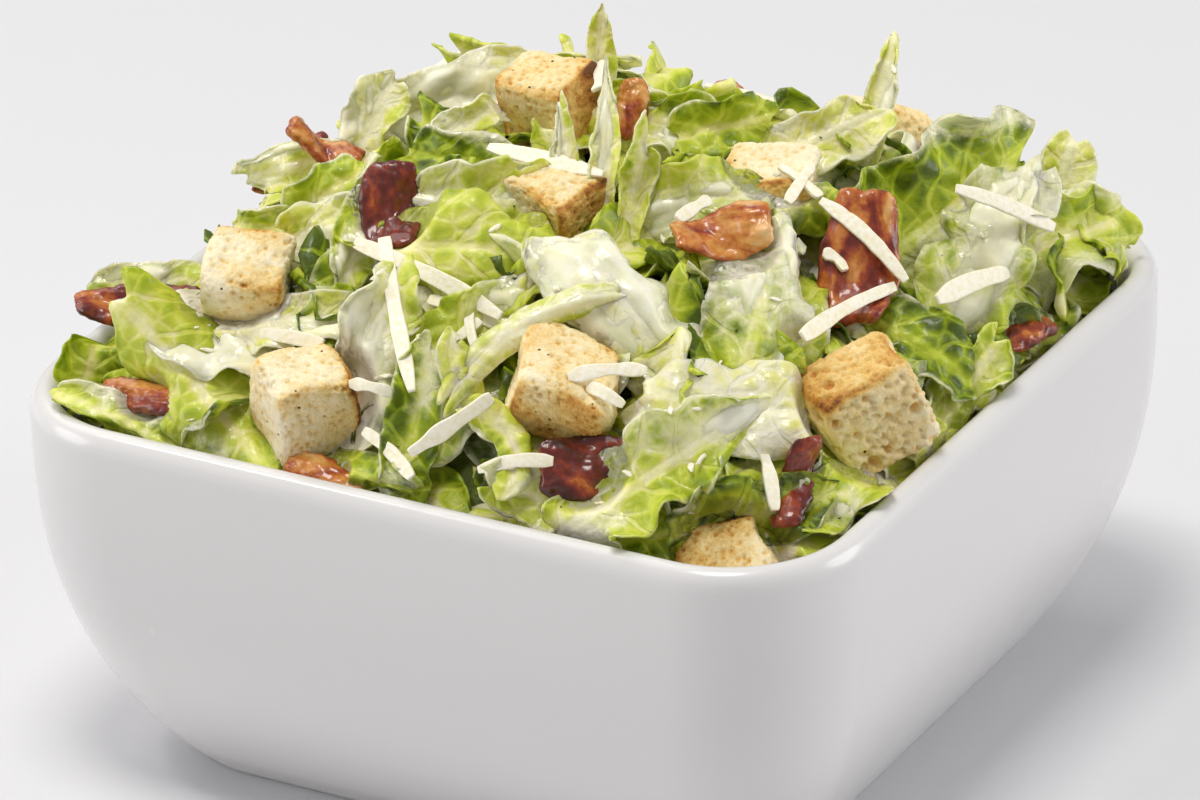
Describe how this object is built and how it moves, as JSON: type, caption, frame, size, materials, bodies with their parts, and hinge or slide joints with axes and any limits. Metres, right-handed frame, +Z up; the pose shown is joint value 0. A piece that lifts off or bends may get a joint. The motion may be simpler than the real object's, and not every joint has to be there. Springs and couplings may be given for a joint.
{
  "type": "caesar salad in a square bowl",
  "caption": "Caesar salad heaped in a square white porcelain bowl: romaine leaves, croutons, fried bacon, shredded hard cheese and creamy dressing.",
  "frame": {"origin": "centre of the bowl's underside, where it stands on Z = 0", "axes": "+Z up; X and Y along the bowl's sides; the side seen most in front faces -Y"},
  "size_m": [0.15, 0.15, 0.1111],
  "materials": {
    "porcelain": "white glaze, soft gloss",
    "lettuce": null,
    "toast": null,
    "bacon": null
  },
  "bodies": {
    "root": {"bowl": "porcelain", "salad": "lettuce", "crouton_left": "toast", "crouton_front_left": "toast", "crouton_middle": "toast", "crouton_right": "toast", "crouton_corner": "toast", "crouton_top": "toast", "crouton_upper": "toast", "crouton_upper_right": "toast", "crouton_far_left": "toast", "crouton_far": "toast", "bacon_upper_left": "bacon", "bacon_dark": "bacon", "bacon_far_left": "bacon", "bacon_left": "bacon", "bacon_front_left": "bacon", "bacon_middle": "bacon", "bacon_front": "bacon", "bacon_pale": "bacon", "bacon_right": "bacon", "bacon_rim": "bacon", "bacon_top": "bacon", "bacon_back": "bacon", "bacon_back_left": "bacon", "bacon_left_edge": "bacon"}
  },
  "joints": []
}
